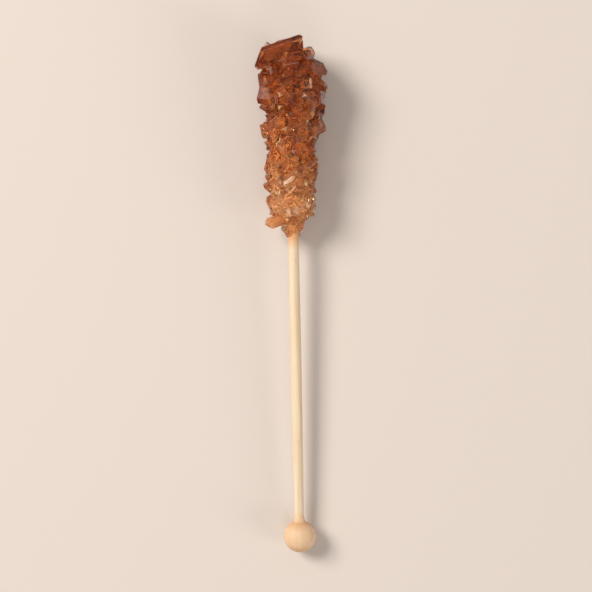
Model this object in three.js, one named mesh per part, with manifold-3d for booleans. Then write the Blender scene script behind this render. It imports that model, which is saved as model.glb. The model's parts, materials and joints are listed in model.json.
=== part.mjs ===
// A rock candy stick lying on its side: a turned birch stick with a ball at its free end, and on its
// other end a mass of brown sugar crystals that have grown round it and into each other.
//
// Units are millimetres. +Z is up, z = 0 is the surface the stick lies on, and +Y points from the
// ball to the tip of the candy. The origin is on that surface, under the middle of the whole.

import * as THREE from 'three';
import { mergeVertices } from 'three/addons/utils/BufferGeometryUtils.js';
import Module from 'manifold-3d';

const wasm = await Module();
wasm.setup();

// Driving dimensions

const totalLength = 150; // from the candy's tip to the far side of the ball, along the stick
const candyLength = 57.6;
const ballDiameter = 9.3;
const neckDiameter = 2.7; // where the stick leaves the ball
const neckLength = 1.2; // the short cone between the ball and the shaft
const shaftDiameter = 3.2; // midway along the bare wood
const candyEndDiameter = 3.0; // where the wood runs into the sugar, and inside it
const woodEndDepth = 9; // the wood stops this far inside the tip of the candy
const boreGap = 0.3; // free space between the wood and the sugar round it
const ballSink = 0.12; // depth of the small flat that the ball lies on
const candyHeight = 9.6; // the stick's axis above the floor, at the widest part of the candy
const widestStation = 12; // where that is, measured from the tip

// The candy at stations measured from its tip: its mean radius before the two ends are rounded off,
// and how far its middle lies beside the stick
const candyStations = [
  [0, 6.6, -1.2],
  [10, 9.1, 0.8],
  [16, 9.1, 0.3],
  [22, 7.9, 0.8],
  [26, 8.2, 0.3],
  [31, 7.0, -0.1],
  [38, 7.1, 0],
  [48, 6.7, -0.1],
  [candyLength, 3.6, -0.6],
];
const tipRounding = 5;
const endRounding = 11;
const endShrink = 7; // the crystals get smaller over this last stretch
const coreCover = 1.7; // the solid core lies this far under the surface

// Crystals are sized end to end. A layer's spread is the area that each takes, as a share of its
// size squared, and sunk is how deep its middle lies under the surface, as a share of its size.
const blocks = { tipSize: 7.6, endSize: 5.6, spread: 0.55, sunk: 0.3, seed: 19 };
const fillers = { tipSize: 4.6, endSize: 3.6, spread: 3.4, sunk: 0.24, seed: 53 };
const smallestShare = 0.45; // of those sizes, where the candy ends on the wood
const sizeVariation = 0.28;
const depthVariation = 0.7;
const leanRange = [1.0, 1.57]; // between a crystal's long axis and the way out, in radians
const goldenAngle = Math.PI * (3 - Math.sqrt(5));

// The few crystals that stand out, each with its place beside the stick's axis and its own long axis:
// the slab across the tip, the point and the shoulder beside it, the ridge on top, the spike by the wood.
// The slab's shares put its three pairs of long faces and its four roof faces where they are wanted.
const leadingSeed = 5;
const leadClear = 0.3; // a scattered crystal is left out if its middle is in one of these or this near
const slabShares = [0.21, 0.23, 0.27, 0.385, 0.56, 0.56, 0.385];
const leadingCrystals = [
  { size: 13.0, x: -3.1, station: 4.2, z: 3.9, axis: [0.955, 0.3, 0], spin: 0, shares: slabShares },
  { size: 6.2, x: 5.0, station: 5.9, z: 1.6, axis: [0.3, 0.95, 0.1], spin: 0.3 },
  { size: 9.0, x: 6.2, station: 11.6, z: 1.2, axis: [0.72, -0.66, 0.2], spin: -0.4 },
  { size: 6.6, x: 3.4, station: 10.2, z: 6.8, axis: [0.66, 0.75, 0.1], spin: 0 },
  { size: 6.8, x: -4.3, station: 52.4, z: 0.4, axis: [-0.94, -0.33, 0.06], spin: 0 },
];

// The faces of a sugar crystal: three pairs of long ones round its own Y axis and a roof at each end.
// Distances from its middle are shares of its size, and the third pair is often too far out to cut.
const longFaces = [
  { normal: [1, 0, 0], distance: 0.22 },
  { normal: [0.225, 0, 0.974], distance: 0.3 },
  { normal: [-0.64, 0, 0.768], distance: 0.46 },
];
const longFaceRange = [0.7, 1.25];
const roofFace = [0.635, 0.772, 0];
const roofRange = [0.38, 0.5];

const ballSteps = 12;
const shaftSteps = 10;
const woodSides = 28;
const hiddenSides = 14; // of the core and the bore
const coreRings = 14;
const shortestEdge = 0.01; // shorter ones are closed up after joining

// Measures along the stick, whose own frame has the ball's centre at the origin and +Y to the tip

const ballRadius = ballDiameter / 2;
const tipY = totalLength - ballRadius;
const candyStartY = tipY - candyLength;
const woodEndY = tipY - woodEndDepth;

const mix = (a, b, share) => a + (b - a) * share;
const smooth = (share) => share * share * (3 - 2 * share);

// A repeatable number from 0 to 1 for one crystal and one of its properties
function draw(index, property, seed) {
  const wave = Math.sin(index * 12.9898 + property * 78.233 + seed * 37.719) * 43758.5453;
  return wave - Math.floor(wave);
}

// One column of the candy's stations at a distance from its tip
function candyProfile(station, column) {
  const next = candyStations.findIndex(([place]) => place >= station);
  if (next <= 0) return 0;
  const [before, after] = [candyStations[next - 1], candyStations[next]];
  return mix(before[column], after[column], smooth((station - before[0]) / (after[0] - before[0])));
}

function candyRadius(station) {
  if (station <= 0 || station >= candyLength) return 0;
  const rounded = (depth, rounding) => Math.sqrt(1 - (1 - Math.min(depth / rounding, 1)) ** 2);
  const ends = rounded(station, tipRounding) * rounded(candyLength - station, endRounding);
  return candyProfile(station, 1) * ends;
}

// The point where three planes meet, or null where they are parallel
function meetingPoint(planes) {
  const [a, b, c] = planes.map((plane) => plane.normal);
  const normals = new THREE.Matrix3().set(a.x, a.y, a.z, b.x, b.y, b.z, c.x, c.y, c.z);
  if (Math.abs(normals.determinant()) < 1e-6) return null;
  const distances = new THREE.Vector3(...planes.map((plane) => -plane.constant));
  return distances.applyMatrix3(normals.invert());
}

// The convex solid that a set of planes encloses
function solidInsidePlanes(planes) {
  const corners = [];
  const rims = planes.map(() => []);
  for (let i = 0; i < planes.length; i++) {
    for (let j = i + 1; j < planes.length; j++) {
      for (let k = j + 1; k < planes.length; k++) {
        const corner = meetingPoint([planes[i], planes[j], planes[k]]);
        if (!corner || planes.some((plane) => plane.distanceToPoint(corner) > 1e-6)) continue;
        [i, j, k].forEach((side) => rims[side].push(corners.length));
        corners.push(corner);
      }
    }
  }
  const triangles = [];
  rims.forEach((rim, side) => {
    if (rim.length < 3) return;
    const middle = new THREE.Vector3();
    rim.forEach((corner) => middle.addScaledVector(corners[corner], 1 / rim.length));
    const across = corners[rim[0]].clone().sub(middle);
    const up = planes[side].normal.clone().cross(across);
    const turn = (corner) => {
      const arm = corners[corner].clone().sub(middle);
      return Math.atan2(arm.dot(up), arm.dot(across));
    };
    rim.sort((one, other) => turn(one) - turn(other));
    for (let n = 2; n < rim.length; n++) triangles.push(rim[0], rim[n - 1], rim[n]);
  });
  return new THREE.BufferGeometry().setFromPoints(corners).setIndex(triangles);
}

// The faces of one crystal, in its own frame
function crystalPlanes({ size, index, seed, shares }) {
  const planes = [];
  const addFace = (x, y, z, share) => {
    planes.push(new THREE.Plane(new THREE.Vector3(x, y, z).normalize(), -share * size));
  };
  longFaces.forEach(({ normal: [x, y, z], distance }, pair) => {
    const drawn = distance * mix(...longFaceRange, draw(index, 10 + pair, seed));
    const share = shares ? shares[pair] : drawn;
    addFace(x, y, z, share);
    addFace(-x, -y, -z, share);
  });
  [1, -1].forEach((end) => {
    [1, -1].forEach((side) => {
      const drawn = mix(...roofRange, draw(index, 20 + end * 2 + side, seed));
      const share = shares ? shares[planes.length - 3] : drawn;
      addFace(side * roofFace[0], end * roofFace[1], roofFace[2], share);
    });
  });
  return planes;
}

function placing({ place, axis, spin }) {
  const turn = new THREE.Quaternion().setFromUnitVectors(new THREE.Vector3(0, 1, 0), axis);
  turn.premultiply(new THREE.Quaternion().setFromAxisAngle(axis, spin));
  return new THREE.Matrix4().compose(place, turn, new THREE.Vector3(1, 1, 1));
}

function placedCrystal(crystal) {
  return solidInsidePlanes(crystalPlanes(crystal)).applyMatrix4(placing(crystal));
}

function leadingOnes() {
  return leadingCrystals.map((lead, index) => {
    const place = new THREE.Vector3(lead.x, tipY - lead.station, lead.z);
    return { ...lead, index, seed: leadingSeed, place, axis: new THREE.Vector3(...lead.axis).normalize() };
  });
}

function inLeading({ place }) {
  return leadingOnes().some((lead) => {
    const inside = place.clone().applyMatrix4(placing(lead).invert());
    return crystalPlanes(lead).every((plane) => plane.distanceToPoint(inside) < leadClear);
  });
}

// A layer of crystals over the candy: a spiral that gives each crystal the room its size needs
function layerOfCrystals({ tipSize, endSize, spread, sunk, seed }) {
  const crystals = [];
  const step = 0.1;
  let filled = 0.5;
  for (let station = step / 2; station < candyLength; station += step) {
    const radius = candyRadius(station);
    const slope = candyRadius(station + step / 2) - candyRadius(station - step / 2);
    const endShare = Math.min((candyLength - station) / endShrink, 1);
    const shrink = mix(smallestShare, 1, endShare);
    const meanSize = mix(tipSize, endSize, station / candyLength) * shrink;
    filled += (2 * Math.PI * radius * Math.hypot(step, slope)) / (spread * meanSize ** 2);
    for (; filled >= 1; filled -= 1) {
      const index = crystals.length;
      const size = meanSize * (1 + sizeVariation * (2 * draw(index, 0, seed) - 1));
      const angle = index * goldenAngle + 0.5 * (draw(index, 1, seed) - 0.5);
      const [across, up] = [Math.cos(angle), Math.sin(angle)];
      const outward = new THREE.Vector3(across, slope / step, up).normalize();
      const depth = sunk * size + depthVariation * (draw(index, 2, seed) - 0.5);
      const middleX = candyProfile(station, 2);
      const place = new THREE.Vector3(middleX + radius * across, tipY - station, radius * up);
      place.addScaledVector(outward, -depth);
      const lean = mix(...leanRange, draw(index, 3, seed));
      const heading = 2 * Math.PI * draw(index, 4, seed);
      const round = new THREE.Vector3(-up, 0, across);
      const along = outward.clone().cross(round);
      const tangent = round.multiplyScalar(Math.cos(heading)).addScaledVector(along, Math.sin(heading));
      const axis = outward.multiplyScalar(Math.cos(lean)).addScaledVector(tangent, Math.sin(lean));
      const spin = 2 * Math.PI * draw(index, 5, seed);
      crystals.push({ size, index, seed, place, axis, spin });
    }
  }
  return crystals;
}

// Outlines are lists of [radius, place along the stick], turned about the stick's own axis

function turned(outline, sides) {
  return new THREE.LatheGeometry(
    outline.map(([radius, y]) => new THREE.Vector2(radius, y)),
    sides,
  );
}

function woodOutline() {
  const neckAngle = 1.35 * Math.asin(neckDiameter / ballDiameter);
  const outline = [[0, -ballRadius]];
  for (let n = 1; n <= ballSteps; n++) {
    const angle = mix(Math.PI, neckAngle, n / ballSteps);
    outline.push([ballRadius * Math.sin(angle), ballRadius * Math.cos(angle)]);
  }
  const swell = shaftDiameter - (neckDiameter + candyEndDiameter) / 2;
  for (let n = 0; n <= shaftSteps; n++) {
    const share = n / shaftSteps;
    const diameter = mix(neckDiameter, candyEndDiameter, share) + swell * Math.sin(Math.PI * share);
    outline.push([diameter / 2, mix(ballRadius + neckLength, candyStartY, share)]);
  }
  outline.push([candyEndDiameter / 2, woodEndY], [0, woodEndY]);
  return outline;
}

// The hole in the candy, which starts outside its lower end
function boreOutline() {
  const radius = candyEndDiameter / 2 + boreGap;
  const mouthY = candyStartY - endRounding;
  const bottomY = woodEndY + boreGap;
  return [[0, mouthY], [radius, mouthY], [radius, bottomY], [0, bottomY]];
}

function coreOutline() {
  const outline = [];
  for (let n = 0; n <= coreRings; n++) {
    const station = mix(candyLength - coreCover, coreCover, n / coreRings);
    const closed = n === 0 || n === coreRings;
    outline.push([closed ? 0 : Math.max(candyRadius(station) - coreCover, 0.4), tipY - station]);
  }
  return outline;
}

// Joining and cutting

function solidOf(geometry) {
  const bare = new THREE.BufferGeometry().setAttribute('position', geometry.getAttribute('position'));
  const merged = mergeVertices(bare.setIndex(geometry.index), 1e-4);
  const vertProperties = new Float32Array(merged.attributes.position.array);
  const triVerts = new Uint32Array(merged.index.array);
  return new wasm.Manifold(new wasm.Mesh({ numProp: 3, vertProperties, triVerts }));
}

function geometryOf(solid) {
  const { vertProperties, triVerts } = solid.getMesh();
  const geometry = new THREE.BufferGeometry();
  geometry.setAttribute('position', new THREE.BufferAttribute(vertProperties, 3));
  geometry.setIndex(new THREE.BufferAttribute(triVerts, 1));
  return geometry;
}

// The largest body alone, which leaves out loose scraps and fills sealed hollows
function soundBody(solid) {
  return solid.decompose().sort((one, other) => other.volume() - one.volume())[0];
}

// The stick lies on its ball and on the widest part of the candy, so its axis rises towards the tip
const ballHeight = ballRadius - ballSink;
const rise = Math.asin((candyHeight - ballHeight) / (tipY - widestStation));
const lying = new THREE.Matrix4().makeRotationX(rise).setPosition(0, 0, ballHeight);
const laid = (geometry) => solidOf(geometry.applyMatrix4(lying));

const floorSide = 4 * totalLength;
const floor = solidOf(new THREE.BoxGeometry(floorSide, floorSide, floorSide).translate(0, 0, -floorSide / 2));

function stickGeometry() {
  return geometryOf(laid(turned(woodOutline(), woodSides)).subtract(floor));
}

function candyGeometry() {
  const scattered = [...layerOfCrystals(blocks), ...layerOfCrystals(fillers)];
  const clear = scattered.filter((crystal) => !inLeading(crystal));
  const crystals = [...leadingOnes(), ...clear].map(placedCrystal);
  const halfSide = Math.PI / hiddenSides; // turns the core's edges off the bore's
  const core = turned(coreOutline(), hiddenSides).rotateY(halfSide);
  const mass = soundBody(wasm.Manifold.union([core, ...crystals].map(laid)));
  const bored = mass.subtract(laid(turned(boreOutline(), hiddenSides)));
  return geometryOf(soundBody(bored.subtract(floor).simplify(shortestEdge)));
}

const birch = new THREE.MeshStandardMaterial({ color: '#f0d6ae', roughness: 0.6, metalness: 0 });
const brownSugar = new THREE.MeshStandardMaterial({
  color: '#8a4a28',
  roughness: 0.18,
  metalness: 0,
  flatShading: true,
});

function named(name, geometry, material) {
  const mesh = new THREE.Mesh(geometry, material);
  mesh.name = name;
  return mesh;
}

const candyStick = new THREE.Group();
candyStick.add(named('stick', stickGeometry(), birch));
candyStick.add(named('candy', candyGeometry(), brownSugar));
const middle = new THREE.Box3().setFromObject(candyStick).getCenter(new THREE.Vector3());
candyStick.position.set(-middle.x, -middle.y, 0);

export default candyStick;
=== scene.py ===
# Rock candy stick: brown sugar crystals grown on one end of a turned birch stick, with a ball at the other.
# It lies on its side. Sizes are in millimetres and become metres where a mesh is made. +Y runs from the ball
# to the candy's tip, and +Z points up.

import itertools
import json
import math

import bmesh
import bpy
from mathutils import Matrix, Quaternion, Vector

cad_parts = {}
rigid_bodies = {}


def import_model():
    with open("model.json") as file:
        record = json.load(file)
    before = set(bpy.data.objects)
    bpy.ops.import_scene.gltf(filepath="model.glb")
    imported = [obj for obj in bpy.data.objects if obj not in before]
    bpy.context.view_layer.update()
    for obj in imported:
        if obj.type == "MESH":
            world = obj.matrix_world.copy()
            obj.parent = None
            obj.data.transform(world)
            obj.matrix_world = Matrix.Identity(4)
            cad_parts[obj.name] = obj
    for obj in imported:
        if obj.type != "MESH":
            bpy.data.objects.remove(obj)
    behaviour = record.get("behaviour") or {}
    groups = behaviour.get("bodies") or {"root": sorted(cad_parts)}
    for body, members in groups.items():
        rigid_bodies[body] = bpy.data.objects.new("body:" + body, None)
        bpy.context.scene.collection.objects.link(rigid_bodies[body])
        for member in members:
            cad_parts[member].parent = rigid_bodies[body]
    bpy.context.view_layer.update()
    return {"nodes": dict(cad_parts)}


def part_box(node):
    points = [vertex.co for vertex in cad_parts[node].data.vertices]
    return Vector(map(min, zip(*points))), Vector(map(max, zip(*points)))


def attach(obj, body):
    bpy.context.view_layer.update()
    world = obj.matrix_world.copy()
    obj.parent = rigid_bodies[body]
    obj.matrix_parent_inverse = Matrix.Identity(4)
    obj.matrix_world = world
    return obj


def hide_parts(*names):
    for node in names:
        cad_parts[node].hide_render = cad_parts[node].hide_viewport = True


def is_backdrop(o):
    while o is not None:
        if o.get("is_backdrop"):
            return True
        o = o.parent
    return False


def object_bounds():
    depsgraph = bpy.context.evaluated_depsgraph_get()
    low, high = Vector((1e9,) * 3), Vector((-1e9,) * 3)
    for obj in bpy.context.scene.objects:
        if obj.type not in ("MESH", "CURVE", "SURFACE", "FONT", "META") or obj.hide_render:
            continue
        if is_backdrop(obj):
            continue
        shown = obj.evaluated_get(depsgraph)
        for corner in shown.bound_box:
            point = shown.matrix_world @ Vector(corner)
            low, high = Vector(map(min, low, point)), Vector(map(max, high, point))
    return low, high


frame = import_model()
mm = 0.001
print("frame loaded:", len(frame["nodes"]), "nodes")


def mix(low, high, share):
    return low + (high - low) * share


# sRGB hex to the linear colour that Blender's sockets hold
def linear(hexColour):
    shares = [int(hexColour[n : n + 2], 16) / 255 for n in (1, 3, 5)]
    return [s / 12.92 if s <= 0.04045 else ((s + 0.055) / 1.055) ** 2.4 for s in shares] + [1.0]


# Adds a node with its settings. Each input is a value, or the node or socket that is linked to it.
def addNode(tree, kind, inputs=None, **settings):
    node = tree.nodes.new(kind)
    for key, value in settings.items():
        setattr(node, key, value)
    for key, value in (inputs or {}).items():
        if isinstance(value, bpy.types.Node):
            value = next(socket for socket in value.outputs if socket.enabled)
        if isinstance(value, bpy.types.NodeSocket):
            tree.links.new(value, node.inputs[key])
        else:
            node.inputs[key].default_value = value
    return node


def newMaterial(name):
    material = bpy.data.materials.new(name)
    material.use_nodes = True
    material.node_tree.nodes.clear()
    return material


def newObject(name, bm, material=None):
    mesh = bpy.data.meshes.new(name)
    bm.to_mesh(mesh)
    bm.free()
    thing = bpy.data.objects.new(name, mesh)
    bpy.context.scene.collection.objects.link(thing)
    if material:
        mesh.materials.append(material)
    return thing


# The stick, and how it lies: on its ball and on the widest part of the candy

stickForm = {
    "totalLength": 150,  # from the candy's tip to the far side of the ball
    "ballDiameter": 9.3,
    "neckDiameter": 2.7,  # where the stick leaves the ball
    "neckLength": 1.2,
    "neckFlare": 1.35,  # the ball ends about this much wider than the neck, and a short cone joins them
    "shaftDiameter": 3.2,  # midway along the bare wood
    "candyEndDiameter": 3.0,
    "woodEndDepth": 9,  # the wood stops this far inside the candy's tip
    "ballSink": 0.12,  # of the ball into the flat that it rests on
    "sides": 96,
    "ballSteps": 48,
    "shaftSteps": 60,
}
candyForm = {
    "length": 57.6,
    "height": 9.6,  # of the stick's axis above the floor, at the widest part
    "widest": 12,  # from the tip to the widest part
    "stations": [  # from the tip, mean radius, and how far the middle lies beside the stick
        (0, 6.6, -1.2),
        (10, 9.1, 0.8),
        (16, 9.1, 0.3),
        (22, 7.9, 0.8),
        (26, 8.2, 0.3),
        (31, 7.0, -0.1),
        (38, 7.1, 0.0),
        (48, 6.7, -0.1),
        (57.6, 3.6, -0.6),
    ],
    "tipRounding": 5,
    "endRounding": 11,
    "endShrink": 7,  # the crystals get smaller over this last stretch
    "smallestShare": 0.45,  # of their size, where the candy ends on the wood
    "sizeVariation": 0.28,  # as a share of the size
    "depthVariation": 0.7,
    "turnVariation": 0.5,  # radians round the stick, off the even spiral
    "leans": (1.0, 1.57),  # how far a crystal leans from straight out, in radians
}

ballRadius = stickForm["ballDiameter"] / 2
ballHeight = ballRadius - stickForm["ballSink"]
tipY = stickForm["totalLength"] - ballRadius
candyStartY = tipY - candyForm["length"]
woodEndY = tipY - stickForm["woodEndDepth"]
rise = math.asin((candyForm["height"] - ballHeight) / (tipY - candyForm["widest"]))

stickLow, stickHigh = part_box("stick")
ballCentre = Vector(((stickLow.x + stickHigh.x) / 2 / mm, stickLow.y / mm + ballRadius, ballHeight))
lying = Matrix.Diagonal((mm, mm, mm, 1)) @ Matrix.Translation(ballCentre) @ Matrix.Rotation(rise, 4, "X")


# A solid turned about the stick's own axis, from a list of (radius, place along it)
def turned(outline, sides):
    bm = bmesh.new()
    rings = []
    for radius, y in outline:
        count = sides if radius else 1
        angles = [2 * math.pi * n / sides for n in range(count)]
        rings.append([bm.verts.new((radius * math.sin(a), y, radius * math.cos(a))) for a in angles])
    for low, high in zip(rings, rings[1:]):
        for n in range(sides):
            m = (n + 1) % sides
            corners = [low[n % len(low)], low[m % len(low)], high[m % len(high)], high[n % len(high)]]
            bm.faces.new(list(dict.fromkeys(corners)))
    bmesh.ops.recalc_face_normals(bm, faces=bm.faces)
    bmesh.ops.transform(bm, matrix=lying, verts=bm.verts)
    return bm


def woodOutline():
    form = stickForm
    neckAngle = form["neckFlare"] * math.asin(form["neckDiameter"] / form["ballDiameter"])
    outline = [(0, -ballRadius)]
    for n in range(1, form["ballSteps"] + 1):
        angle = mix(math.pi, neckAngle, n / form["ballSteps"])
        outline.append((ballRadius * math.sin(angle), ballRadius * math.cos(angle)))
    swell = form["shaftDiameter"] - (form["neckDiameter"] + form["candyEndDiameter"]) / 2
    for n in range(form["shaftSteps"] + 1):
        share = n / form["shaftSteps"]
        straight = mix(form["neckDiameter"], form["candyEndDiameter"], share)
        diameter = straight + swell * math.sin(math.pi * share)
        outline.append((diameter / 2, mix(ballRadius + form["neckLength"], candyStartY, share)))
    outline += [(form["candyEndDiameter"] / 2, woodEndY), (0, woodEndY)]
    return outline


def buildStick(material):
    bm = turned(woodOutline(), stickForm["sides"])
    for vertex in bm.verts:
        vertex.co.z = max(vertex.co.z, 0)  # the small flat under the ball
    for face in bm.faces:
        face.smooth = True
    return newObject("birch_stick", bm, material)


# Crystals of rock sugar. A layer is a spiral over the candy that gives each crystal the room its size needs.
# Spread is the area that one takes, as a share of its size squared. Sunk is how deep its middle lies under
# the surface, as a share of its size. One whose middle is in a leading crystal, or nearer to it than clear in
# millimetres, is left out. Fine ones have no bevelled edges with their painted highlight, and no terraces.

crystalLayers = {
    "blocks": {
        "tipSize": 7.6, "endSize": 5.6, "spread": 0.55, "sunk": 0.3, "seed": 19, "clear": 0.3, "fine": False
    },
    "fillers": {
        "tipSize": 4.6, "endSize": 3.6, "spread": 3.4, "sunk": 0.24, "seed": 53, "clear": 0.3, "fine": False
    },
    "grains": {
        "tipSize": 2.8, "endSize": 2.2, "spread": 1.4, "sunk": 0.4, "seed": 83, "clear": 2.0, "fine": True
    },
}
coreForm = {  # the solid mass between the crystals and the wood
    "cover": 1.7,  # of crystals over it
    "endCover": 1.7,  # the same where the candy ends on the wood
    "leastRadius": 0.4,
    "rings": 14,
    "sides": 14,
}
leadingCrystals = {  # the large ones that give the candy its outline
    "seed": 5,
    "each": [
        {
            "size": 13.0, "x": -3.1, "station": 4.2, "z": 3.9, "axis": (0.955, 0.3, 0), "spin": 0.0,
            "faces": (0.21, 0.23, 0.27, 0.385, 0.56, 0.56, 0.385),  # shares that set its own seven distances
        },
        {"size": 6.2, "x": 5.0, "station": 5.9, "z": 1.6, "axis": (0.3, 0.95, 0.1), "spin": 0.3},
        {"size": 9.0, "x": 6.2, "station": 11.6, "z": 1.2, "axis": (0.72, -0.66, 0.2), "spin": -0.4},
        {"size": 6.6, "x": 3.4, "station": 10.2, "z": 6.8, "axis": (0.66, 0.75, 0.1), "spin": 0.0},
        {
            "size": 6.8, "x": -4.3, "station": 52.4, "z": 0.4, "axis": (-0.94, -0.33, 0.06), "spin": 0.0,
            "tone": 1.8,  # browner than the others, whose tones are drawn from 0 to 1
        },
    ],
}
crystalHabit = {
    # the direction of each pair of long faces, and its distance from the middle as a share of the size
    "long": [((1, 0, 0), 0.22), ((0.225, 0, 0.974), 0.3), ((-0.64, 0, 0.768), 0.46)],
    "longRange": (0.7, 1.25),  # what that distance is multiplied by
    "roof": (0.635, 0.772),  # direction of the faces at its two ends, across and along
    "roofRange": (0.38, 0.5),  # their distance, as a share of the size
    "edgeBevel": 0.2,  # mm that an edge's bevel, whose faces carry a painted highlight, reaches onto each of its two faces
    "stepHeight": (0.1, 0.3),  # mm, of the growth terraces on the faces
    "stepFullSize": 6,  # mm, and smaller crystals have lower terraces
    "stepsEach": 3,
    "stepShrink": (0.45, 0.8),  # of the face
    "stepShift": (0.12, 0.2),  # off the face's middle, across and along, as shares of the size
    "glintChipped": 0.3,  # share of the terraces that are small frosted chips instead, painted pale as glints
    "glintChipWidth": (0.2, 0.5),  # of the face
    "glintChipLength": (0.4, 0.8),
    "weld": 0.004,  # mm, and corners nearer than this become one
    "flatAngle": 0.01,  # radians, and faces that differ by less become one
}
goldenAngle = math.pi * (3 - math.sqrt(5))


# A repeatable number from 0 to 1 for one crystal and one of its properties
def draw(index, prop, seed):
    wave = math.sin(index * 12.9898 + prop * 78.233 + seed * 37.719) * 43758.5453
    return wave - math.floor(wave)


def candyProfile(station, column):
    stations = candyForm["stations"]
    following = next((n for n, row in enumerate(stations) if row[0] >= station), -1)
    if following <= 0:
        return 0
    before, after = stations[following - 1 : following + 1]
    share = (station - before[0]) / (after[0] - before[0])
    return mix(before[column], after[column], share * share * (3 - 2 * share))


def candyRadius(station):
    if not 0 < station < candyForm["length"]:
        return 0
    tipShare = min(station / candyForm["tipRounding"], 1)
    endShare = min((candyForm["length"] - station) / candyForm["endRounding"], 1)
    rounding = math.sqrt(1 - (1 - tipShare) ** 2) * math.sqrt(1 - (1 - endShare) ** 2)
    return candyProfile(station, 1) * rounding


def layerOfCrystals(layer):
    crystals = []
    seed = layer["seed"]
    step = 0.1  # mm along the candy
    station = step / 2
    filled = 0.5  # of the room that the next crystal needs
    while station < candyForm["length"]:
        radius = candyRadius(station)
        slope = candyRadius(station + step / 2) - candyRadius(station - step / 2)
        endShare = min((candyForm["length"] - station) / candyForm["endShrink"], 1)
        share = station / candyForm["length"]
        shrink = mix(candyForm["smallestShare"], 1, endShare)
        meanSize = mix(layer["tipSize"], layer["endSize"], share) * shrink
        filled += 2 * math.pi * radius * math.hypot(step, slope) / (layer["spread"] * meanSize**2)
        while filled >= 1:
            index = len(crystals)
            size = meanSize * (1 + candyForm["sizeVariation"] * (2 * draw(index, 0, seed) - 1))
            angle = index * goldenAngle + candyForm["turnVariation"] * (draw(index, 1, seed) - 0.5)
            across, up = math.cos(angle), math.sin(angle)
            outward = Vector((across, slope / step, up)).normalized()
            depth = layer["sunk"] * size + candyForm["depthVariation"] * (draw(index, 2, seed) - 0.5)
            depth += mix(*layer.get("inset", (0, 0)), share)
            middle = Vector((candyProfile(station, 2) + radius * across, tipY - station, radius * up))
            lean = mix(*candyForm["leans"], draw(index, 3, seed))
            heading = 2 * math.pi * draw(index, 4, seed)
            sideways = Vector((-up, 0, across))
            tangent = sideways * math.cos(heading) + outward.cross(sideways) * math.sin(heading)
            axis = (outward * math.cos(lean) + tangent * math.sin(lean)).normalized()
            spin = 2 * math.pi * draw(index, 5, seed)
            place = placing(middle - depth * outward, axis, spin)
            crystals.append({"size": size, "index": index, "seed": seed, "place": place})
            filled -= 1
        station += step
    return crystals


def placing(place, axis, spin):
    turn = Quaternion(axis, spin) @ Vector((0, 1, 0)).rotation_difference(axis)
    return Matrix.Translation(place) @ turn.to_matrix().to_4x4()


# The large crystals, at their own size or a share of it
def leadingOnes(grown=1):
    crystals = []
    for index, lead in enumerate(leadingCrystals["each"]):
        middle = Vector((lead["x"], tipY - lead["station"], lead["z"]))
        place = placing(middle, Vector(lead["axis"]).normalized(), lead["spin"])
        own = {"size": lead["size"] * grown, "index": index, "seed": leadingCrystals["seed"], "place": place}
        crystals.append({**lead, **own})
    return crystals


# The faces of one crystal, each as its direction and its distance from the crystal's middle
def crystalPlanes(crystal):
    size, index, seed, shares = crystal["size"], crystal["index"], crystal["seed"], crystal.get("faces")
    planes = []
    for pair, (normal, distance) in enumerate(crystalHabit["long"]):
        drawn = distance * mix(*crystalHabit["longRange"], draw(index, 10 + pair, seed))
        half = size * (shares[pair] if shares else drawn)
        direction = Vector(normal).normalized()
        planes += [(direction, half), (-direction, half)]
    across, along = crystalHabit["roof"]
    for end in (1, -1):
        for side in (1, -1):
            drawn = mix(*crystalHabit["roofRange"], draw(index, 20 + end * 2 + side, seed))
            reach = size * (shares[len(planes) - 3] if shares else drawn)
            planes.append((Vector((side * across, end * along, 0)).normalized(), reach))
    return planes


# The growth terraces and chips of a crystal, each with whether it is a chip that carries a painted glint:
# flat plates with the same faces, each a little proud of one of the long ones
def terraces(crystal, planes):
    size, index, seed = crystal["size"], crystal["index"], crystal["seed"]
    longFaces = 2 * len(crystalHabit["long"])
    shiftAcross, shiftAlong = crystalHabit["stepShift"]
    plates = []
    for n in range(crystalHabit["stepsEach"]):
        face = int(draw(index, 40 + n, seed) * longFaces)
        glintChipped = draw(index, 90 + n, seed) < crystalHabit["glintChipped"]
        drawn = draw(index, 50 + n, seed)
        ranges = ("glintChipWidth", "glintChipLength") if glintChipped else ("stepShrink", "stepShrink")
        width, length = [mix(*crystalHabit[name], drawn) for name in ranges]
        normal, distance = planes[face]
        sideways = normal.cross(Vector((0, 1, 0))).normalized()
        centre = sideways * size * shiftAcross * (2 * draw(index, 60 + n, seed) - 1)
        centre.y += size * shiftAlong * (2 * draw(index, 70 + n, seed) - 1)
        fullSize = crystalHabit["stepFullSize"]
        proud = mix(*crystalHabit["stepHeight"], draw(index, 80 + n, seed)) * min(1, size / fullSize)
        plate = []
        for m, (direction, reach) in enumerate(planes):
            shrink = width if m < longFaces else length
            inner = min(direction.dot(centre) + reach * shrink, reach + proud / 2)
            plate.append((direction, distance + proud if m == face else inner))
        plates.append((plate, glintChipped))
    return plates


# The corners of the convex solid that a set of planes encloses
def cornersInside(planes):
    corners = []
    parallel = 1e-6  # of the determinant, under which three planes share no one corner
    rounding = 1e-5  # mm
    for three in itertools.combinations(planes, 3):
        directions, distances = zip(*three)
        normals = Matrix(directions)
        if abs(normals.determinant()) < parallel:
            continue
        corner = normals.inverted() @ Vector(distances)
        if all(normal.dot(corner) <= distance + rounding for normal, distance in planes):
            corners.append(corner)
    return corners
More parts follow.
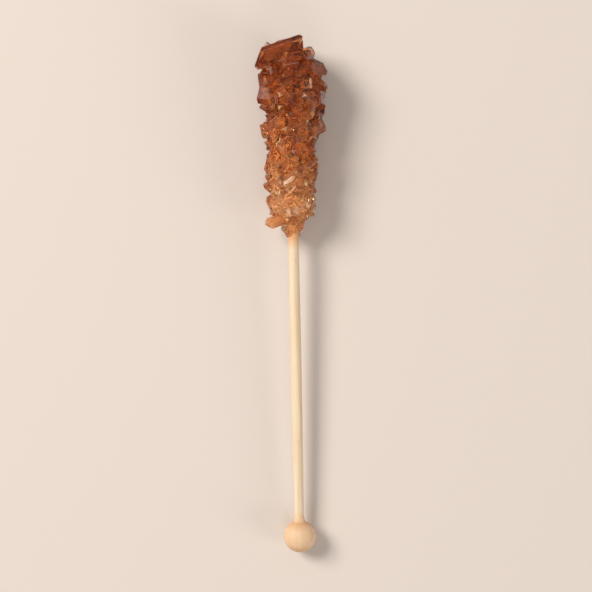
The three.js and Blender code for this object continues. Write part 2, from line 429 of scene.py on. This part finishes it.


# One crystal, whose faces carry its tone, the way that it grew, and whether they are bevelled edges or chips,
# both painted pale as highlights
def addCrystal(collection, crystal, planes, bevelled=False, glintChipped=False):
    bm = bmesh.new()
    for corner in cornersInside(planes):
        bm.verts.new(corner)
    bmesh.ops.remove_doubles(bm, verts=bm.verts, dist=crystalHabit["weld"])
    if len(bm.verts) < 4:  # too flat to be a solid
        bm.free()
        return
    hull = bmesh.ops.convex_hull(bm, input=bm.verts)
    loose = [v for v in hull["geom_interior"] if isinstance(v, bmesh.types.BMVert)]
    bmesh.ops.delete(bm, geom=loose, context="VERTS")
    bmesh.ops.dissolve_limit(bm, angle_limit=crystalHabit["flatAngle"], verts=bm.verts, edges=bm.edges)
    # the faces of the bevels carry a painted highlight
    edgeHighlightLayer = bm.faces.layers.float.new("edgeHighlight")
    if bevelled:
        bevel = bmesh.ops.bevel(
            bm,
            geom=bm.edges[:],
            offset=crystalHabit["edgeBevel"],
            segments=1,
            affect="EDGES",
            clamp_overlap=True,
        )
        for face in bevel["faces"]:
            face[edgeHighlightLayer] = 1
        bmesh.ops.remove_doubles(bm, verts=bm.verts, dist=crystalHabit["weld"] / 2)
    bmesh.ops.recalc_face_normals(bm, faces=bm.faces)
    toWorld = lying @ crystal["place"]
    bmesh.ops.transform(bm, matrix=toWorld, verts=bm.verts)
    # chip faces carry a painted glint
    glintChipLayer = bm.faces.layers.float.new("glintChip")
    toneLayer = bm.faces.layers.float.new("tone")
    growthLayer = bm.faces.layers.float_vector.new("growth")
    tone = crystal.get("tone", draw(crystal["index"], 6, crystal["seed"]))
    growth = (toWorld.to_3x3() @ Vector((0, 1, 0))).normalized()
    for face in bm.faces:
        face[glintChipLayer] = glintChipped
        face[toneLayer] = tone
        face[growthLayer] = growth
    mesh = bpy.data.meshes.new("crystal")
    bm.to_mesh(mesh)
    bm.free()
    collection.objects.link(bpy.data.objects.new("crystal", mesh))


# Leaves only the largest shell of a mesh, and tells how many others went: loose scraps, and hollows that
# joining has sealed
def keepLargestShell(mesh):
    bm = bmesh.new()
    bm.from_mesh(mesh)
    shells, seen = [], set()
    for start in bm.verts:
        if start in seen:
            continue
        seen.add(start)
        shell, waiting = [], [start]
        while waiting:
            vertex = waiting.pop()
            shell.append(vertex)
            for edge in vertex.link_edges:
                other = edge.other_vert(vertex)
                if other not in seen:
                    seen.add(other)
                    waiting.append(other)
        shells.append(shell)
    shells.sort(key=len)
    for shell in shells[:-1]:
        bmesh.ops.delete(bm, geom=shell, context="VERTS")
    bm.to_mesh(mesh)
    bm.free()
    return len(shells) - 1


# Joins the pieces to a solid, and cuts away what is inside the cutter. The pieces and the cutter are used up.
def joined(thing, pieces, cutter=None):
    steps = [("UNION", "COLLECTION", pieces)]
    if cutter:
        steps.append(("DIFFERENCE", "OBJECT", cutter))
    for operation, kind, operand in steps:
        cut = thing.modifiers.new(operation, "BOOLEAN")
        cut.operation = operation
        cut.solver = "MANIFOLD"
        cut.operand_type = kind
        setattr(cut, kind.lower(), operand)
        bpy.context.view_layer.objects.active = thing
        bpy.ops.object.modifier_apply(modifier=cut.name)
    for crystal in list(pieces.objects):
        bpy.data.meshes.remove(crystal.data)
    bpy.data.collections.remove(pieces)
    if cutter:
        bpy.data.meshes.remove(cutter.data)
    print(thing.name + ":", keepLargestShell(thing.data), "scraps and sealed hollows left out")
    return thing


# The outline of a turned form inside the candy, under an even cover of crystals and pointed at both ends
def insideOutline(form):
    rings = form["rings"]
    outline = []
    for n in range(rings + 1):
        station = mix(candyForm["length"] - form["endCover"], form["cover"], n / rings)
        radius = max(candyRadius(station) - form["cover"], form["leastRadius"])
        outline.append((radius if 0 < n < rings else 0, tipY - station))
    return outline


def buildCandy(material):
    leads = leadingOnes()
    faced = [(lead["place"].inverted(), crystalPlanes(lead)) for lead in leads]
    crystals = list(leads)
    for layer in crystalLayers.values():
        for crystal in layerOfCrystals(layer):
            middle = crystal["place"].translation
            buried = any(
                all(normal.dot(inverse @ middle) < distance + layer["clear"] for normal, distance in planes)
                for inverse, planes in faced
            )
            if not buried:
                crystals.append({**crystal, "fine": layer["fine"]})
    pieces = bpy.data.collections.new("crystals")
    for crystal in crystals:
        planes = crystalPlanes(crystal)
        fine = crystal.get("fine", False)
        addCrystal(pieces, crystal, planes, bevelled=not fine)
        if not fine:
            for plate, glintChipped in terraces(crystal, planes):
                addCrystal(pieces, crystal, plate, glintChipped=glintChipped)
    print("candy:", len(crystals), "crystals")
    floorSide = 1.0  # metres
    below = bmesh.new()
    bmesh.ops.create_cube(below, size=floorSide, matrix=Matrix.Translation((0, 0, -floorSide / 2)))
    candy = newObject("candy_crystals", turned(insideOutline(coreForm), coreForm["sides"]), material)
    return joined(candy, pieces, newObject("below the floor", below))


# The colour along the candy, with stops from the wood, at 0, to the tip, at 1. Each source runs from 0 to 1
# and moves the place in the stops by up to half its share either way.
def colourAlong(tree, place, stops, sources):
    low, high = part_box("candy")
    y = addNode(tree, "ShaderNodeSeparateXYZ", {0: place}).outputs["Y"]
    shade = addNode(tree, "ShaderNodeMapRange", {0: y, 1: low.y, 2: high.y})
    for source, share in sources:
        shade = addNode(tree, "ShaderNodeMath", {0: source, 1: share, 2: shade}, operation="MULTIPLY_ADD")
    average = sum(share for _, share in sources) / 2
    shade = addNode(tree, "ShaderNodeMath", {0: shade, 1: average}, operation="SUBTRACT")
    colour = linear(stops[0][0])
    for (_, start), (hexColour, end) in zip(stops, stops[1:]):
        part = addNode(tree, "ShaderNodeMapRange", {0: shade, 1: start, 2: end})
        colour = addNode(tree, "ShaderNodeMix", {0: part, 6: colour, 7: linear(hexColour)}, data_type="RGBA")
    return colour


sugarLook = {
    # from pale at the wood to dark at the tip: partly the sugar's own colour, partly painted shade
    "colours": [("#f8d8b0", 0.0), ("#fff0d4", 0.1), ("#ecb884", 0.5), ("#d08a50", 1.0)],
    "toneRange": 0.25,  # how much one crystal differs from the next, as a share of the way from end to tip
    "patchShare": 0.5,  # how much the candy's darker and lighter parts differ, as such a share
    "patchSize": 7,  # mm, of those parts
    "growthLines": 0.2,  # how much darker the fine lines along a crystal are
    "lineRange": (0.35, 0.65),  # of the noise that draws them, from pale to dark
    "lineSpacing": 0.5,  # mm
    "lineLength": 3.0,  # mm
    "relief": 0.12,
    "reliefDepth": 0.1,  # mm
    "roughness": (0.06, 0.25),
    "frostRange": (0.35, 0.7),  # of the noise that goes from the first of those to the second
    # painted highlight on the bevelled edges
    "edgeHighlight": "#ffc080",
    "edgeHighlightShare": 0.6,
    "bevelRoughness": 0.45,
    # pale frosted chips, painted as glints
    "glintChip": "#ffdcc4",
    "glintChipStreaks": 0.4,  # how strongly the least frosted parts of a chip take the painted glint
    "streakRange": (0.35, 0.6),  # of the noise from those parts to the most frosted ones
    "clear": 0.97,  # share of the light that goes through a face
    "glintChipClear": 0.2,
    "glassColour": "#f5aa50",  # of the light that is left after 10 to 30 mm
    "glassDensity": 100,  # per metre
    "ior": 1.42,
    "specular": 0.3,
}


# Brown rock sugar, grown slowly from syrup and left as it grew. It is glassy and warm brown, darker towards
# the tip, partly its own colour and partly painted shade. Its faces are bright, with fine growth lines along
# them, bevelled edges with a painted highlight, and frosted chips painted pale as glints. Sugar's own IOR is
# about
# 1.54, and the lower one here is matched to the object.
def brownRockSugar():
    look = sugarLook
    material = newMaterial("brown rock sugar")
    tree = material.node_tree
    place = addNode(tree, "ShaderNodeTexCoord").outputs["Object"]

    # fine lines along each crystal, in millimetres across and along its faces
    growth = addNode(tree, "ShaderNodeAttribute", attribute_name="growth").outputs["Vector"]
    normal = addNode(tree, "ShaderNodeNewGeometry").outputs["True Normal"]
    sideways = addNode(tree, "ShaderNodeVectorMath", {0: growth, 1: normal}, operation="CROSS_PRODUCT")
    across = addNode(tree, "ShaderNodeVectorMath", {0: sideways, 1: place}, operation="DOT_PRODUCT")
    along = addNode(tree, "ShaderNodeVectorMath", {0: growth, 1: place}, operation="DOT_PRODUCT")
    onFace = addNode(tree, "ShaderNodeCombineXYZ", {0: across, 1: along})
    scales = (1 / (look["lineSpacing"] * mm), 1 / (look["lineLength"] * mm), 1)
    scaled = addNode(tree, "ShaderNodeVectorMath", {0: onFace, 1: scales}, operation="MULTIPLY")
    noise = {"Vector": scaled, "Scale": 1, "Detail": 2}
    lines = addNode(tree, "ShaderNodeTexNoise", noise, noise_dimensions="2D")
    depth = look["reliefDepth"] * mm
    bumps = {"Height": lines, "Strength": look["relief"], "Distance": depth}
    relief = addNode(tree, "ShaderNodeBump", bumps)

    # the colour varies by patch, by crystal and by line
    patchScale = 1 / (look["patchSize"] * mm)
    patches = addNode(tree, "ShaderNodeTexNoise", {"Vector": place, "Scale": patchScale, "Detail": 2})
    tone = addNode(tree, "ShaderNodeAttribute", attribute_name="tone").outputs["Fac"]
    pale, dark = look["lineRange"]
    strokes = addNode(tree, "ShaderNodeMapRange", {0: lines, 1: pale, 2: dark})
    sources = [(patches, look["patchShare"]), (tone, look["toneRange"]), (strokes, look["growthLines"])]
    colour = colourAlong(tree, place, look["colours"], sources)
    smooth, frosted = look["roughness"]
    start, end = look["frostRange"]
    frost = addNode(tree, "ShaderNodeMapRange", {0: patches, 1: start, 2: end, 3: smooth, 4: frosted})

    # bevelled edges are rougher, and painted paler as a highlight
    edgeHighlight = addNode(tree, "ShaderNodeAttribute", attribute_name="edgeHighlight").outputs["Fac"]
    edgeHighlightShare = addNode(tree, "ShaderNodeMath", {0: edgeHighlight, 1: look["edgeHighlightShare"]}, operation="MULTIPLY")
    edgeHighlightColour = linear(look["edgeHighlight"])
    colour = addNode(tree, "ShaderNodeMix", {0: edgeHighlightShare, 6: colour, 7: edgeHighlightColour}, data_type="RGBA")
    frost = addNode(tree, "ShaderNodeMix", {0: edgeHighlight, 2: frost, 3: look["bevelRoughness"]}, data_type="FLOAT")

    # chips are frosted in streaks, painted pale as glints, and throw light back
    glintChip = addNode(tree, "ShaderNodeAttribute", attribute_name="glintChip").outputs["Fac"]
    start, end = look["streakRange"]
    streaked = addNode(tree, "ShaderNodeMapRange", {0: lines, 1: start, 2: end, 3: look["glintChipStreaks"], 4: 1})
    glintChip = addNode(tree, "ShaderNodeMath", {0: glintChip, 1: streaked}, operation="MULTIPLY")
    colour = addNode(tree, "ShaderNodeMix", {0: glintChip, 6: colour, 7: linear(look["glintChip"])}, data_type="RGBA")
    clear = addNode(tree, "ShaderNodeMapRange", {0: glintChip, 1: 0, 2: 1, 3: look["clear"], 4: look["glintChipClear"]})

    shell = addNode(
        tree,
        "ShaderNodeBsdfPrincipled",
        {
            "Base Color": colour,
            "Roughness": frost,
            "IOR": look["ior"],
            "Specular IOR Level": look["specular"],
            "Transmission Weight": clear,
            "Normal": relief,
        },
    )
    inside = addNode(
        tree,
        "ShaderNodeVolumeAbsorption",
        {"Color": linear(look["glassColour"]), "Density": look["glassDensity"]},
    )
    addNode(tree, "ShaderNodeOutputMaterial", {"Surface": shell, "Volume": inside})
    return material


# The cloudy inside of the candy, where small crystals have grown through each other. In a few places it comes
# out between the clear ones. It is a layer of crystals like those above, round a form that fills the middle.

heartForm = {
    "tipSize": 3.4,
    "endSize": 2.6,
    "spread": 0.7,
    "sunk": 0,
    "inset": (2.6, 2.2),  # mm under the candy's mean surface, at the tip and at the lower end
    "seed": 29,
    "leadShare": 0.55,  # of the leading crystals that is cloudy
    "cover": 3.2,  # of crystals over the form that fills the middle
    "endCover": 1.2,
    "leastRadius": 1.6,  # of that form
    "rings": 60,
    "sides": 48,
}
heartLook = {
    # from pale at the wood to dark at the tip: partly the sugar's own colour, partly painted shade
    "colours": [("#eeb880", 0.0), ("#ffe0b8", 0.1), ("#dca670", 0.5), ("#a8683e", 1.0)],
    "toneRange": 0.15,
    "cloudShare": 0.5,
    "cloudSize": 2.9,  # mm
    "roughness": 0.5,
}


def buildHeart(material):
    heart = newObject("cloudy_heart", turned(insideOutline(heartForm), heartForm["sides"]), material)
    pieces = bpy.data.collections.new("clouds")
    for crystal in leadingOnes(heartForm["leadShare"]) + layerOfCrystals(heartForm):
        addCrystal(pieces, crystal, crystalPlanes(crystal))
    return joined(heart, pieces)


# Cloudy sugar, many tiny crystals grown into each other. It throws the light back, so that the clear crystals
# over it glow: cream at the lower end and brown at the tip, partly its own colour and partly painted shade,
# with soft clouds in it.
def cloudySugar():
    look = heartLook
    material = newMaterial("cloudy sugar")
    tree = material.node_tree
    place = addNode(tree, "ShaderNodeTexCoord").outputs["Object"]
    cloudScale = 1 / (look["cloudSize"] * mm)
    clouds = addNode(tree, "ShaderNodeTexNoise", {"Vector": place, "Scale": cloudScale, "Detail": 3})
    tone = addNode(tree, "ShaderNodeAttribute", attribute_name="tone").outputs["Fac"]
    sources = [(clouds, look["cloudShare"]), (tone, look["toneRange"])]
    colour = colourAlong(tree, place, look["colours"], sources)
    shell = addNode(tree, "ShaderNodeBsdfPrincipled", {"Base Color": colour, "Roughness": look["roughness"]})
    addNode(tree, "ShaderNodeOutputMaterial", {"Surface": shell})
    return material


birchLook = {
    "early": "#e9dcc6",  # between the growth rings
    "late": "#dcc29d",  # the rings themselves
    "ringShare": 0.45,
    "ringSharpness": 2.2,  # above 1, so that each ring darkens slowly and ends at once
    "ballShade": "#e2b184",  # painted shade: the ball is tinted warmer and darker than the shaft
    "ballShadeShare": 0.5,
    "ballShadeFade": (1, 3),  # mm past the ball, over which that painted shade ends
    "endGrain": "#cf9a68",  # cut across at the two poles of the ball, where the wood is darker
    "endGrainShare": 0.75,
    "endGrainStart": 0.45,  # how far along the stick a face looks where that starts, from 0 to 1
    "fleck": "#a97442",
    "fleckShare": 0.7,
    "fleckRange": (0.72, 0.78),  # of the noise, high so that flecks are few
    "syrup": "#d9954f",
    "syrupShare": 0.75,
    "ringWidth": 1.9,  # mm between growth rings
    "ringDrift": 5.0,  # mm that they wander
    "driftSize": (5, 50),  # mm across and along, over which they do
    "logOffset": (34.0, 21.0),  # mm from the stick's axis to the middle of the tree it came from
    "streakSize": (0.35, 16.0),  # mm across and along the grain, about twice as wide as real so that it shows
    "streakShare": 0.55,
    "streakRange": (0.3, 0.7),  # of the noise, from pale to dark
    "fleckSize": (0.3, 3.2),  # mm across and along
    "turningMarks": 0.45,  # mm from one lathe mark to the next, drawn coarser than real so that it shows
    "turningShare": 0.35,  # how strong they are beside the grain
    "relief": 0.35,
    "reliefDepth": 0.05,  # mm
    "syrupReach": 3.5,  # mm that the sugar has soaked along the wood
    "syrupEdge": 2.5,  # mm that the soaked end is uneven by
    "syrupShift": 1.2,  # mm, about half of that, which keeps its middle in place
    "roughness": (0.5, 0.64),
    "ior": 1.5,
    "specular": 0.35,
}


# How often a pattern repeats per millimetre, from its size across and along the wood
def perGrain(size):
    across, along = size
    return (1 / across, 1 / along, 1 / across)


# Birch turned on a lathe and sanded, with no varnish: pale and almost even, with fine grain along it, wide
# soft rings that show as ovals on the ball, darker end grain at the ball's poles and a matt surface
def turnedBirch():
    look = birchLook
    material = newMaterial("turned birch")
    tree = material.node_tree

    # millimetres in the stick's own frame, with the ball's middle at the origin
    place = addNode(tree, "ShaderNodeTexCoord").outputs["Object"]
    inside = addNode(
        tree,
        "ShaderNodeMapping",
        {"Vector": place, "Location": ballCentre * mm, "Rotation": (rise, 0, 0), "Scale": (mm, mm, mm)},
        vector_type="TEXTURE",
    )
    y = addNode(tree, "ShaderNodeSeparateXYZ", {0: inside}).outputs["Y"]

    # growth rings round the middle of the log, made uneven by a slow noise
    offsetX, offsetZ = look["logOffset"]
    logMiddle = (offsetX, 0, offsetZ)
    fromLog = addNode(tree, "ShaderNodeVectorMath", {0: inside, 1: logMiddle}, operation="SUBTRACT")
    flat = addNode(tree, "ShaderNodeVectorMath", {0: fromLog, 1: (1, 0, 1)}, operation="MULTIPLY")
    distance = addNode(tree, "ShaderNodeVectorMath", {0: flat}, operation="LENGTH")
    driftScale = perGrain(look["driftSize"])
    slow = addNode(tree, "ShaderNodeVectorMath", {0: inside, 1: driftScale}, operation="MULTIPLY")
    drift = addNode(tree, "ShaderNodeTexNoise", {"Vector": slow, "Scale": 1, "Detail": 2})
    wandering = addNode(
        tree, "ShaderNodeMath", {0: drift, 1: look["ringDrift"], 2: distance}, operation="MULTIPLY_ADD"
    )
    rings = addNode(tree, "ShaderNodeMath", {0: wandering, 1: look["ringWidth"]}, operation="DIVIDE")
    saw = addNode(tree, "ShaderNodeMath", {0: rings}, operation="FRACT")
    ring = addNode(tree, "ShaderNodeMath", {0: saw, 1: look["ringSharpness"]}, operation="POWER")

    # fine grain along the wood
    streakScale = perGrain(look["streakSize"])
    fine = addNode(tree, "ShaderNodeVectorMath", {0: inside, 1: streakScale}, operation="MULTIPLY")
    streak = addNode(tree, "ShaderNodeTexNoise", {"Vector": fine, "Scale": 1, "Detail": 3})
    pale, dark = look["streakRange"]
    grain = addNode(tree, "ShaderNodeMapRange", {0: streak, 1: pale, 2: dark})
    ringShade = addNode(tree, "ShaderNodeMath", {0: ring, 1: look["ringShare"]}, operation="MULTIPLY")
    shade = addNode(
        tree, "ShaderNodeMath", {0: grain, 1: look["streakShare"], 2: ringShade}, operation="MULTIPLY_ADD"
    )

    # the ball, with painted shade over it and end grain where it is cut across the stick's axis
    normal = addNode(tree, "ShaderNodeNewGeometry").outputs["Normal"]
    axis = (0, math.cos(rise), math.sin(rise))
    facing = addNode(tree, "ShaderNodeVectorMath", {0: normal, 1: axis}, operation="DOT_PRODUCT")
    facing = addNode(tree, "ShaderNodeMath", {0: facing}, operation="ABSOLUTE")
    fadeStart, fadeEnd = [ballRadius + past for past in look["ballShadeFade"]]
    onBall = addNode(tree, "ShaderNodeMapRange", {0: y, 1: fadeStart, 2: fadeEnd, 3: 1, 4: 0})
    ballShadeShare = addNode(tree, "ShaderNodeMath", {0: onBall, 1: look["ballShadeShare"]}, operation="MULTIPLY")
    facings = {0: facing, 1: look["endGrainStart"], 2: 1, 3: 0, 4: look["endGrainShare"]}
    cutAcross = addNode(tree, "ShaderNodeMapRange", facings)
    endShare = addNode(tree, "ShaderNodeMath", {0: cutAcross, 1: onBall}, operation="MULTIPLY")

    # brown flecks, long and thin, each about half a wave of the noise
    fleckScale = perGrain([2 * side for side in look["fleckSize"]])
    cells = addNode(tree, "ShaderNodeVectorMath", {0: inside, 1: fleckScale}, operation="MULTIPLY")
    spots = addNode(tree, "ShaderNodeTexNoise", {"Vector": cells, "Scale": 1, "Detail": 1})
    start, end = look["fleckRange"]
    shares = {0: spots, 1: start, 2: end, 3: 0, 4: look["fleckShare"]}
    fleckShare = addNode(tree, "ShaderNodeMapRange", shares)

    # syrup that has soaked in beside the candy, with an uneven edge
    edge = addNode(tree, "ShaderNodeMath", {0: streak, 1: look["syrupEdge"], 2: y}, operation="MULTIPLY_ADD")
    start = candyStartY - look["syrupReach"] + look["syrupShift"]
    end = start + look["syrupReach"]
    soaked = addNode(tree, "ShaderNodeMapRange", {0: edge, 1: start, 2: end, 3: 0, 4: look["syrupShare"]})

    colour = linear(look["early"])
    tints = {"late": shade, "ballShade": ballShadeShare, "endGrain": endShare, "fleck": fleckShare, "syrup": soaked}
    for name, share in tints.items():
        tint = linear(look[name])
        colour = addNode(tree, "ShaderNodeMix", {0: share, 6: colour, 7: tint}, data_type="RGBA")

    # marks of the lathe on the ball and its neck, and the raised grain of the sanded shaft
    marksPerMm = 2 * math.pi / look["turningMarks"]  # radians
    turn = addNode(tree, "ShaderNodeMath", {0: y, 1: marksPerMm}, operation="MULTIPLY")
    marks = addNode(tree, "ShaderNodeMath", {0: turn}, operation="SINE")
    ballMarks = addNode(tree, "ShaderNodeMath", {0: marks, 1: onBall}, operation="MULTIPLY")
    heights = {0: ballMarks, 1: look["turningShare"], 2: streak}
    height = addNode(tree, "ShaderNodeMath", heights, operation="MULTIPLY_ADD")
    depth = look["reliefDepth"] * mm
    bumps = {"Height": height, "Strength": look["relief"], "Distance": depth}
    relief = addNode(tree, "ShaderNodeBump", bumps)
    smooth, rough = look["roughness"]
    roughness = addNode(tree, "ShaderNodeMapRange", {0: streak, 1: pale, 2: dark, 3: smooth, 4: rough})

    shell = addNode(
        tree,
        "ShaderNodeBsdfPrincipled",
        {
            "Base Color": colour,
            "Roughness": roughness,
            "IOR": look["ior"],
            "Specular IOR Level": look["specular"],
            "Normal": relief,
        },
    )
    addNode(tree, "ShaderNodeOutputMaterial", {"Surface": shell})
    return material


# The pieces

candy = buildCandy(brownRockSugar())
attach(candy, "root")
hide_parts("candy")
print("candy made:", len(candy.data.polygons), "faces")

heart = buildHeart(cloudySugar())
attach(heart, "root")
print("cloudy heart made:", len(heart.data.polygons), "faces")

stick = buildStick(turnedBirch())
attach(stick, "root")
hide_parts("stick")
print("stick made:", len(stick.data.polygons), "faces")


# The stage: pale paper, soft lamps and a camera that looks straight down

stageLook = {
    "paper": "#dad4d0",
    "paperRoughness": 0.9,
    "paperSide": 6,  # metres
    "lampColour": "#fff6eb",
    "lampSide": 0.7,  # metres
    "lamps": {  # place in metres, and watts
        "window side": ((-1.1, 0.7, 1.2), 30),
        "far side": ((1.4, -0.7, 0.7), 8),
        "near side": ((0.1, -1.4, 1.0), 4),
    },
    "sky": "#f3e9e1",
    "skyStrength": 0.4,
    "lens": 90,  # mm
    "sensorWidth": 36,  # mm
    "cameraHeight": 0.44,  # metres
    "cameraTurn": -1.2,  # degrees
}

# Plain matt drawing paper: it throws soft light back and shows no texture from here
paper = newMaterial("pale paper")
shell = addNode(
    paper.node_tree,
    "ShaderNodeBsdfPrincipled",
    {"Base Color": linear(stageLook["paper"]), "Roughness": stageLook["paperRoughness"]},
)
addNode(paper.node_tree, "ShaderNodeOutputMaterial", {"Surface": shell})
sheet = bmesh.new()
bmesh.ops.create_grid(sheet, x_segments=1, y_segments=1, size=stageLook["paperSide"] / 2)
newObject("floor", sheet, paper)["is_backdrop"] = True

for name, (place, watts) in stageLook["lamps"].items():
    lamp = bpy.data.lights.new(name, "AREA")
    lamp.energy = watts
    lamp.color = linear(stageLook["lampColour"])[:3]
    lamp.size = stageLook["lampSide"]
    holder = bpy.data.objects.new(name, lamp)
    bpy.context.scene.collection.objects.link(holder)
    holder.location = place
    holder.rotation_euler = (-Vector(place)).to_track_quat("-Z", "Y").to_euler()

sky = bpy.data.worlds.new("studio")
sky.use_nodes = True
background = sky.node_tree.nodes["Background"]
background.inputs["Color"].default_value = linear(stageLook["sky"])
background.inputs["Strength"].default_value = stageLook["skyStrength"]
bpy.context.scene.world = sky
bpy.context.scene.view_settings.view_transform = "Standard"

low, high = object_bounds()
middle = (low + high) / 2
camera = bpy.data.objects.new("camera", bpy.data.cameras.new("camera"))
bpy.context.scene.collection.objects.link(camera)
camera.data.lens = stageLook["lens"]
camera.data.sensor_width = stageLook["sensorWidth"]
camera.location = (middle.x, middle.y, stageLook["cameraHeight"])
camera.rotation_euler = (0, 0, math.radians(stageLook["cameraTurn"]))
bpy.context.scene.camera = camera
print("stage and camera set")
